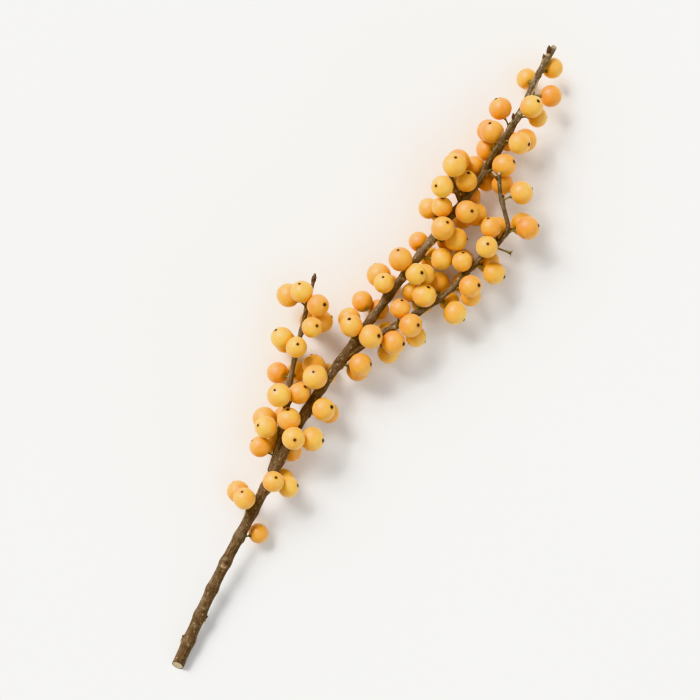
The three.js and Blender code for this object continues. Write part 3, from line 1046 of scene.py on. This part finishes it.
def leaf_scars(shoot, distance, turn, radius):
    """Height of the cushions under the leaf scars, and how much each point is part of a
    scar's face. A cushion is a bell, a face is a half ellipse with a dark dot, and a
    ridge is a bell across that fades along."""
    height, face = np.zeros_like(radius), np.zeros_like(radius)
    size = np.clip(radius / FULL_RADIUS, *SCAR_SIZES)
    for scar, facing, _ in shoot["nodes"]:
        x = ((turn - np.radians(facing) + np.pi) % TURN - np.pi) * radius
        y = distance - scar + SCAR_BELOW
        reach = np.where(y > 0, y / CUSHION_ABOVE, y / CUSHION_BELOW)
        near = np.exp(-((x / (CUSHION_ACROSS * size)) ** 2) - reach**2)
        height = np.maximum(height, CUSHION_HEIGHT * size * near)
        inside = 1 - (x / (SCAR_ACROSS * size)) ** 2 - (y / (SCAR_ALONG * size)) ** 2
        moon = smooth_step(inside, 0, 0.35) * smooth_step(SCAR_TOP - y, 0, 0.2)
        dot = np.exp(-(x**2 + (y + 0.1) ** 2) / SAP_DOT)
        face = np.maximum(face, moon * (1 - 0.8 * dot))
        ridge = np.exp(-((np.abs(x) - size) ** 2) / RIDGE_SPREAD) * np.exp(y / RIDGE_LENGTH)
        height = height + RIDGE_HEIGHT * size * ridge * (y < 0)
    return height, face


print("leaf scars on the main stem:", len(SHOOTS["main"]["nodes"]))

# %% [markdown]
# A cutter leaves a slanting face. The tube ends exactly on that slanting plane, because
# each line of its points runs from where the line meets one plane to where it meets the
# other. An uncut tip closes like a ball, and the foot of a side shoot thickens into a
# collar. The points keep how much they are pore, scar or peeled strip, so that the
# colour follows the shape.

# %% The surface of a shoot
ROW_STEP = 0.33  # between two rings of points along a shoot
COLLAR_GROWTH = 0.22  # how much a side shoot thickens where it leaves the stem
COLLAR_LENGTH = 5.0
TIP_CLOSED = 0.02  # least square of the shrinking, which leaves the last ring some width


def cut_shift(radius, turn):
    """How far past the middle of a slanting cut a line on the surface ends: its height
    over the middle times the tangent of the slant."""
    return radius * np.sin(turn) * np.tan(np.radians(CUT_SLANT))


def peeled_strip(shoot, distance, turn, radius):
    """How much of the bark is worn away, from 0 to 1: a bell across, flat-topped along."""
    if "peeled" not in shoot:
        return np.zeros_like(radius)
    middle, half_length, facing, half_width = shoot["peeled"]
    away = ((turn - np.radians(facing) + np.pi) % TURN - np.pi) * radius / half_width
    return np.exp(-(away**2) - ((distance - middle) / half_length) ** 4)


def bark_shape(shoot):
    """Rings and kept values of a shoot. A ring's radius is the wood's, plus ribs,
    cushions and pores, and an uncut tip shrinks as a circle does."""
    columns, span = shoot["columns"], shoot["span"]
    turn = round_turns(columns)[None]
    foot, tip = shoot["radii"]
    start, stop = np.zeros((1, columns)), np.full((1, columns), span)
    if shoot["cut_foot"]:
        start = foot + cut_shift(foot, turn)
    if shoot["cut_tip"]:
        stop = span - tip - cut_shift(tip, turn)
    rows = int(span / ROW_STEP)
    distance = start + (stop - start) * np.linspace(0, 1, rows)[:, None]
    turn = np.broadcast_to(turn, distance.shape)
    radius = wood_radius(shoot, distance)
    if not shoot["cut_foot"]:
        radius = radius * (1 + COLLAR_GROWTH * np.exp(-((distance / COLLAR_LENGTH) ** 2)))
    cushion, scar = leaf_scars(shoot, distance, turn, radius)
    pore = pores(distance, turn, radius, span) * (1 - scar)
    wide = radius + ribs(distance, turn, radius) + cushion + PORE_HEIGHT * pore
    if not shoot["cut_tip"]:
        left_over = (span - distance) / tip
        wide = wide * np.sqrt(np.clip(1 - (1 - left_over) ** 2, TIP_CLOSED, 1)) ** (left_over < 1)
    forward, left, up = directions(shoot, distance)
    outward = left * np.cos(turn)[..., None] + up * np.sin(turn)[..., None]
    rings = along(shoot, distance) + outward * wide[..., None]
    kept = {"pore": pore, "scar": scar, "crown": (wide - radius) / radius,
            "peeled": peeled_strip(shoot, distance, turn, radius)}
    return rings, kept, (distance, turn, wide)


print("rings of points on the main stem:", int(SHOOTS["main"]["span"] / ROW_STEP))

# %% [markdown]
# The open ends are closed by rings that shrink in the plane of the rim. On a cut they
# carry their share of the radius, from which the finish draws bark, green layer, rings
# and pith. Everywhere the points also keep the grain's own place: round the stem and
# along it, as if the shoot were straight. Colours read from there bend with the shoot.

# %% The shoots closed at both ends
RIM_SHARES = np.linspace(0.97, 0.15, 5)  # of the rim, for the rings that close an end
YOUNG_RADIUS = 0.9  # wood as thin as this is young
OLD_GROWTH = 2.2  # wood this much thicker is old
ON_BARK = 2.0  # what the ring value is where there is bark


def close_end(rim, middle):
    """Rings that close an end: the rim moved towards its middle by growing amounts."""
    return middle + (rim - middle) * RIM_SHARES[:, None, None]


def shoot_piece(name, shoot, materials):
    """A shoot with both ends closed, as one piece. It keeps pore, scar, crown (height as a
    share of the radius), peeled, ring (share of the radius on a cut face), age, which is
    thickness from 0 to 1, and grain."""
    rings, kept, (distance, turn, wide) = bark_shape(shoot)
    more = len(RIM_SHARES)
    middles = rings[[0, -1]].mean(axis=1)
    at_foot = close_end(rings[0], middles[0])[::-1]
    whole = np.concatenate([at_foot, rings, close_end(rings[-1], middles[1])])
    ring = np.full(whole.shape[:2], ON_BARK)
    ring_ends = [0 if shoot[cut] else ON_BARK for cut in ("cut_foot", "cut_tip")]
    if shoot["cut_foot"]:
        ring[:more] = RIM_SHARES[::-1, None]
    if shoot["cut_tip"]:
        ring[-more:] = RIM_SHARES[:, None]

    def padded(value):
        """A value on the rings, carried on over the closing rings."""
        return np.pad(value, ((more, more), (0, 0)), mode="edge")

    def at_points(value, ends):
        """A value on the rings in one row, followed by its values at the two ends."""
        return np.concatenate([value.reshape(-1, *value.shape[2:]), ends])[None]

    distance, turn, wide = padded(distance), padded(turn), padded(wide)
    grain = np.stack([wide * np.cos(turn), wide * np.sin(turn), distance], axis=-1)
    age = np.clip((wide - YOUNG_RADIUS) / OLD_GROWTH, 0, 1)
    values = {key: at_points(padded(value), [0, 0]) for key, value in kept.items()}
    values["ring"] = at_points(ring, ring_ends)
    values["age"] = at_points(age, age[[0, -1], 0])
    values["grain"] = at_points(grain, [[0, 0, 0], [0, 0, shoot["span"]]])
    return make_piece("bark_" + name, whole[None], middles[None], values, materials,
                      "woody_stem")


print("an end is closed by", len(RIM_SHARES), "rings and a fan")

# %% [markdown]
# Bark colour comes from several causes at once, and each is a coat here: warm brown
# where the wood is old and grey brown where it is young, streaks and fine fibres that
# follow the grain, painted shade in the furrows, painted light on the crests that also
# stands for their grey weathering, pores and leaf scars, a grey film of weathering, and
# one strip where the bark has peeled. The pattern is read from the grain's own place,
# squeezed along the stem, so streaks come out long.

# %% Finish of the bark
GRAIN_STRETCH = (1.1, 1.1, 0.16)
YOUNG_DARK, YOUNG_PALE = tint(80, 58, 36), tint(146, 128, 98)
OLD_DARK, OLD_PALE = tint(72, 46, 26), tint(130, 102, 70)
STREAK_REACH = (0.36, 0.64)


def bark_finish():
    """Two browns mixed by streaks, for young wood and for old, mixed again by age, and
    then one coat for each cause. The relief is streaks, cracks and fibres on each other."""
    finish = Finish("ribbed_bark")
    grain, crown = finish.value("grain", "Vector"), finish.value("crown")
    drawn_out = finish.node("ShaderNodeMapping", {"Vector": grain, "Scale": GRAIN_STRETCH}), "Vector"
    streaks = finish.noise(1.6, 5.0, 0.62, place=drawn_out)
    cracks = finish.noise(4.2, 4.0, place=drawn_out)
    fibres = finish.noise(11.0, place=drawn_out)
    film, patches = finish.noise(0.22, 4.0, place=grain), finish.noise(0.33, place=grain)
    young = finish.mix(finish.range(streaks, *STREAK_REACH), YOUNG_DARK, YOUNG_PALE)
    old = finish.mix(finish.range(streaks, *STREAK_REACH), OLD_DARK, OLD_PALE)
    bark = finish.mix(finish.range(finish.value("age"), 0.1, 0.8), young, old)
    ragged = finish.math("ADD", finish.value("peeled"), finish.range(streaks, 0.3, 0.7, -0.3, 0.3))
    for source, reach, amount, colour in (
            (film, (0.5, 0.68), (0, 0.4), tint(160, 144, 114)),
            (patches, (0.56, 0.68), (0, 0.55), tint(56, 35, 20)),
            # painted shade: the furrows between the ribs are darkened where the crown is low
            (crown, (-0.08, 0.02), (0.45, 0), tint(50, 31, 18)),  # furrows
            # painted highlight: the crests of the ribs are paled where the crown is high, which also
            # stands for their grey weathering
            (crown, (0.05, 0.2), (0, 0.25), tint(170, 148, 116)),  # crests
            (cracks, (0.36, 0.46), (0.6, 0), tint(40, 24, 14)),
            (fibres, (0.38, 0.54), (0.42, 0), tint(50, 33, 20)),
            (fibres, (0.52, 0.68), (0, 0.24), tint(176, 156, 122)),
            (finish.value("pore"), (0.1, 0.85), (0, 0.85), tint(176, 152, 118)),
            (finish.value("scar"), (0.3, 0.8), (0, 0.8), tint(172, 148, 112)),
            (ragged, (0.45, 0.6), (0, 0.85), tint(198, 184, 152))):
        bark = finish.coat(bark, source, reach, amount, colour)
    relief = finish.bump(streaks, 0.00025)
    relief = finish.bump(cracks, 0.00012, before=relief)
    relief = finish.bump(fibres, 0.00006, before=relief)
    rough = finish.range(streaks, 0.3, 0.7, 0.85, 0.62)
    return finish.end(Base_Color=bark, Roughness=rough, Normal=relief, Specular_IOR_Level=0.35)


bark = bark_finish()

# %% [markdown]
# On a fresh cut, pale wood shows year rings round a dot of pith, with a green line under
# the bark. That is the foot, which was cut at harvest. The tips were pruned long before,
# and their faces have weathered to grey brown. The foot is thick and the tips are thin,
# so the age that the points keep tells them apart.

# %% Finish of the cut wood
FRESH_WOOD, RING_WOOD, GREY_WOOD = tint(214, 196, 154), tint(172, 146, 104), tint(168, 146, 110)
YEAR_RINGS = 22.0  # radians of the rings' sine from the pith to the bark


def cut_wood_finish():
    """Year rings are the sine of the share of the radius, which noise makes wobble. Coats
    add weathering, pith, the green layer and the edge of the bark."""
    finish = Finish("cut_wood")
    wobble = finish.range(finish.noise(900.0), 0, 1, -0.05, 0.05)
    share = finish.math("ADD", finish.value("ring"), wobble)
    years = finish.math("SINE", finish.math("MULTIPLY", share, YEAR_RINGS))
    wood = finish.mix(finish.range(years, 0.5, 1, 0, 0.38), FRESH_WOOD, RING_WOOD)
    for source, reach, amount, colour in (
            (finish.noise(1100.0, 4.0, 0.65), (0.45, 0.7), (0, 0.55), GREY_WOOD),
            (finish.value("age"), (0.3, 0.9), (0.75, 0), tint(128, 110, 84)),  # old cuts
            (share, (0.06, 0.11), (0.7, 0), tint(140, 108, 68)),  # pith
            (share, (0.8, 0.85), (0, 1), tint(126, 122, 66)),  # green layer
            (share, (0.87, 0.91), (0, 1), tint(70, 46, 26))):  # bark
        wood = finish.coat(wood, source, reach, amount, colour)
    relief = finish.bump(finish.noise(2500.0, 4.0, 0.65), 0.0001)
    return finish.end(Base_Color=wood, Roughness=0.7, Normal=relief)


cut_wood = cut_wood_finish()

# %% [markdown]
# A mesh can wear two finishes, and each face has the number of its own. A face belongs
# to a cut where all its corners lie inside the rim. Blender could sort that out face by
# face, but one array operation finds the lowest ring value of every face at once.


# %% The pieces of the shoots
def mark_cut_faces(piece):
    """Gives the second finish to faces whose lowest ring value is under 1."""
    data, ring = piece.data, np.zeros(len(piece.data.vertices))
    data.attributes["ring"].data.foreach_get("value", ring)
    corners, starts = np.zeros(len(data.loops), int), np.zeros(len(data.polygons), int)
    data.loops.foreach_get("vertex_index", corners)
    data.polygons.foreach_get("loop_start", starts)
    on_cut = np.minimum.reduceat(ring[corners], starts) < 1
    data.polygons.foreach_set("material_index", on_cut.astype(int))
    print(piece.name, "has", count_triangles([piece]), "triangles,", on_cut.sum(), "faces on cuts")


for name, shoot in SHOOTS.items():
    mark_cut_faces(shoot_piece(name, shoot, [bark, cut_wood]))

# %% [markdown]
# Next year's buds wait above the leaf scars and at the uncut tips. One at a bare scar or
# a tip is as large as on the plain solids, or a little larger where the photograph shows
# it so. One with berries beside it stays small, and where the berries leave no room for
# it, there is none.

# %% Where the buds are
STOUT_BUDS = {("main", 362): 1.5, ("main", 358): 1.1, ("front_twig", 32): 1.2}
BUD_SEAT = 0.75  # where in the wood a bud starts, as a share of the wood's radius
SMALL_BUD = 0.5
SMALL_SEAT = 0.9
SMALL_AHEAD = 1.5  # how far a small bud is ahead of its berries' stalks
SMALL_LEAN = 1.1
BUD_ROOM = 0.76  # least air between a small bud's point and a berry


def bud_list():
    """Roots, directions and sizes of all buds. A direction is straight out from the scar
    plus some steps forward, and at a tip it is forward alone."""
    found = []
    for name, shoot in SHOOTS.items():
        for scar, facing, count in shoot["nodes"]:
            forward, left, up = directions(shoot, scar)
            turn = np.radians(facing)
            outward = left * np.cos(turn) + up * np.sin(turn)
            place, seat, lean, size = scar, BUD_SEAT, BUD_LEAN, STOUT_BUDS.get((name, scar), 1)
            if count > 0:
                place, seat, lean, size = scar + SMALL_AHEAD, SMALL_SEAT, SMALL_LEAN, SMALL_BUD
            root = along(shoot, place) + outward * wood_radius(shoot, place) * seat
            found.append((root, outward + forward * lean, size))
        if not shoot["cut_tip"]:
            forward, _, _ = directions(shoot, shoot["span"])
            found.append((along(shoot, shoot["span"]), forward, TIP_BUD_SIZE))
    roots, ways, sizes = (np.array(v) for v in zip(*found))
    ways = unit(ways)
    points = roots + ways * BUD_LENGTH * sizes[:, None]
    gaps = np.linalg.norm(points[:, None] - berries["centre"], axis=2) - berries["radius"]
    room = (gaps.min(axis=1) > BUD_ROOM) | (sizes >= 1)
    return roots[room], ways[room], sizes[room]


roots, ways, sizes = bud_list()
print(len(sizes), "buds, of which", int((sizes < 1).sum()), "are small ones beside berries")

# %% [markdown]
# A winterberry bud is a blunt egg wrapped in a few dark brown scales. The egg is a
# profile turned round its axis, and the scales are a sawtooth that climbs it, so each
# scale's edge stands a little proud of the next. The height in the sawtooth also colours
# the scale: dark at its foot and worn pale at its edge.

# %% The buds
BUD_ROWS = 22
BUD_COLUMNS = 20
BUD_TOP = 0.985  # height of the last ring before the point
BUD_BURIED = 0.3  # length of the foot in the wood, as a share
BUD_FULLNESS = 2.2
BUD_BLUNTNESS = 0.56
BUD_FOOT = 0.72  # width of the foot, as a share
SCALES = 3.4  # layers of scales from foot to point
SCALE_CROWDING = 0.85  # below 1, the scales are shorter near the foot
SCALE_EDGE = 0.13  # how proud an edge stands, as a share of the radius
SCALE_WAVE = 0.33  # how much a scale's edge rises and falls round the bud, in layers
SCALE_TWIST = 2.2


def bud_shapes(roots, ways, sizes):
    """Rings and ends of buds. The radius is one less a power of the height, raised to a
    power, which rounds the top, times one plus the sawtooth of the scales. A large bud
    is as stout as it is long, and a small one keeps more of its width."""
    height = np.linspace(0, BUD_TOP, BUD_ROWS)[None, :, None]
    turn = round_turns(BUD_COLUMNS)
    start = chance.random(len(sizes))[:, None, None]
    wave = np.cos(2 * turn + TURN * start + SCALE_TWIST * height)
    layer = SCALES * height**SCALE_CROWDING + SCALE_WAVE * wave
    edge = 1 - (layer - np.floor(layer))
    profile = (1 - height**BUD_FULLNESS) ** BUD_BLUNTNESS
    profile = profile * (BUD_FOOT + (1 - BUD_FOOT) * np.sin(np.pi * height))
    girth = BUD_RADIUS * np.where(sizes > 1, sizes, np.sqrt(sizes))
    wide = girth[:, None, None] * profile * (1 + SCALE_EDGE * (edge - 0.5))
    high = BUD_LENGTH * sizes[:, None, None] * ((1 + BUD_BURIED) * height - BUD_BURIED)
    reach = np.stack([high[:, 0, 0], BUD_LENGTH * sizes], axis=1)
    rings, ends = turned(wide, high, turn, ways, roots), on_axis(reach, ways, roots)
    return rings, ends, np.broadcast_to(edge, wide.shape)


def bud_finish():
    """Two browns mixed by noise, a dark coat at the foot of a scale and a pale one at its
    edge."""
    finish = Finish("bud_scales")
    edge = finish.value("edge")
    scale = finish.mix(finish.range(finish.noise(1300.0), 0.35, 0.65), tint(56, 34, 22),
                       tint(104, 70, 44))
    scale = finish.coat(scale, edge, (0.1, 0.32), (0.8, 0), tint(34, 20, 12))
    scale = finish.coat(scale, edge, (0.8, 1.0), (0, 0.5), tint(150, 116, 84))
    relief = finish.bump(finish.noise(2600.0), 0.00006)
    return finish.end(Base_Color=scale, Roughness=0.6, Normal=relief)


rings, ends, edge = bud_shapes(roots, ways, sizes)
edge = np.concatenate([edge.reshape(len(sizes), -1), np.full((len(sizes), 2), 0.5)], axis=1)
buds = make_piece("buds", rings, ends, {"edge": edge}, [bud_finish()], "woody_stem")
print("buds have", count_triangles([buds]), "triangles")

# %% [markdown]
# The sprig lies on a plain white table. Its white is a little uneven and hardly glossy,
# so that it takes soft shadows and throws none of its own pattern on the berries. It is
# a stage: it belongs to the picture and not to the part.

# %% The table
TABLE_REACH = 4.0  # metres from the middle to a side
TABLE_DROP = 0.00005  # keeps the table just under what rests on it


def table_finish():
    """Two whites mixed by very soft noise."""
    finish = Finish("table")
    cloud = finish.range(finish.noise(3.0, 2.0, 0.5), 0.3, 0.7)
    colour = finish.mix(cloud, tint(243, 243, 242), tint(248, 248, 247))
    return finish.end(Base_Color=colour, Roughness=0.8, Specular_IOR_Level=0.2)


table_mesh = bpy.data.meshes.new("table")
corners = np.array([[-1, -1], [1, -1], [1, 1], [-1, 1]]) * TABLE_REACH
table_mesh.from_pydata([(x, y, -TABLE_DROP) for x, y in corners], [], [(0, 1, 2, 3)])
table_mesh.materials.append(table_finish())
table = bpy.data.objects.new("table", table_mesh)
bpy.context.scene.collection.objects.link(table)
table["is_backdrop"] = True
print("the table is", 2 * TABLE_REACH, "m wide")

# %% [markdown]
# The light is soft and comes from the upper left of the picture, with a weaker one from
# the lower right. Both are lamps of the sun type: they light a berry at the foot and one
# at the tip alike, as a large studio window does. The angle of a sun is how wide it
# looks. A wide one gives each berry a broad pale glow and no hard spot.

# %% The lamps
PICTURE_RIGHT = np.array([0.5446, -0.8387, 0.0])  # of the photograph, on the table
PICTURE_UP = np.array([0.8387, 0.5446, 0.0])
TOWARDS_VIEWER = np.array([0.0, 0.0, 1.0])
LAMPS = {  # right, up, towards the viewer; angle in radians; watts a square metre; colour
    "key": ((-0.75, 0.95, 0.95), 0.62, 3.6, (1.0, 0.99, 0.97)),
    "fill": ((0.9, -0.5, 1.0), 1.0, 0.6, (1.0, 1.0, 1.0)),
}


def aimed(item, place, target, top):
    """Puts an item at a place, looking at a target, with its top edge towards top: its
    back is the line from the target, and its side is square to that and to top."""
    back = unit(np.array(place) - target)
    side = unit(np.cross(top, back))
    rows = np.stack([side, np.cross(back, side), back], axis=1)
    turned = Matrix(rows.tolist()).to_4x4()
    turned.translation = place
    item.matrix_world = turned


for name, ((right, up, high), angle, power, colour) in LAMPS.items():
    light = bpy.data.lights.new(name, "SUN")
    light.angle, light.energy, light.color = angle, power, colour
    item = bpy.data.objects.new(name, light)
    bpy.context.scene.collection.objects.link(item)
    place = PICTURE_RIGHT * right + PICTURE_UP * up + TOWARDS_VIEWER * high
    aimed(item, place, np.zeros(3), PICTURE_UP)
    print(name, "lamp stands", round(float(np.degrees(np.arctan2(high, np.hypot(right, up))))),
          "degrees high")

# %% [markdown]
# The rest of the light comes from a pale room. Its walls are brighter than its ceiling,
# so that a low view meets white behind the sprig and not a grey horizon. The strength of
# the room's light follows the height of each direction. The neutral view transform
# keeps the golden colours close to how they were named above, where others would wash
# them out or overdo their bright side.

# %% The room and the picture's tones
ROOM_WALLS = 0.9  # how bright the room is at eye level
ROOM_CEILING = 0.36
ROOM_BAND = 0.3  # the height, as a sine, at which the walls have faded to the ceiling
EXPOSURE = 0.25
world = bpy.data.worlds.new("pale room")
world.use_nodes = True
room = world.node_tree
place = room.nodes.new("ShaderNodeTexCoord")
height = room.nodes.new("ShaderNodeSeparateXYZ")
glow = room.nodes.new("ShaderNodeMapRange")
for key, value in (("From Min", 0.0), ("From Max", ROOM_BAND),
                   ("To Min", ROOM_WALLS), ("To Max", ROOM_CEILING)):
    glow.inputs[key].default_value = value
room.links.new(place.outputs["Generated"], height.inputs["Vector"])
room.links.new(height.outputs["Z"], glow.inputs["Value"])
room.links.new(glow.outputs["Result"], room.nodes["Background"].inputs["Strength"])
room.nodes["Background"].inputs["Color"].default_value = (1.0, 1.0, 1.0, 1.0)
bpy.context.scene.world = world
bpy.context.scene.view_settings.view_transform = "Khronos PBR Neutral"
bpy.context.scene.view_settings.exposure = EXPOSURE
print("exposure makes the picture", round(2**EXPOSURE, 2), "times as bright")

# %% [markdown]
# The photograph looks at the sprig square on from a little way off, so the camera here
# looks down on the table with a long lens. It is turned so that the sprig leans up to
# the right as it does in the photograph.

# %% The camera
CAMERA_LENS = 100.0
SENSOR = 36.0
CAMERA_HEIGHT = 0.96
camera_data = bpy.data.cameras.new("camera")
camera_data.lens, camera_data.sensor_width = CAMERA_LENS, SENSOR
camera = bpy.data.objects.new("camera", camera_data)
bpy.context.scene.collection.objects.link(camera)
low, high = (np.array(v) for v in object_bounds())
middle = (low + high) / 2
aimed(camera, middle + TOWARDS_VIEWER * CAMERA_HEIGHT, middle, PICTURE_UP)
bpy.context.scene.camera = camera
print("the camera sees", round(CAMERA_HEIGHT * SENSOR / CAMERA_LENS, 3), "m across")

# %% [markdown]
# Before the end, the bounds of the finished sprig are taken, and the meshes that are seen are
# counted with their triangles.
# The finer pieces must not grow the part, because other things are built to its size.

# %% Bounds and triangles of the finished sprig
low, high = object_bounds()
added = [o for o in bpy.context.scene.objects if o.type == "MESH" and not o.hide_render]
print("meshes seen, with the table:", len(added), "with", count_triangles(added), "triangles")
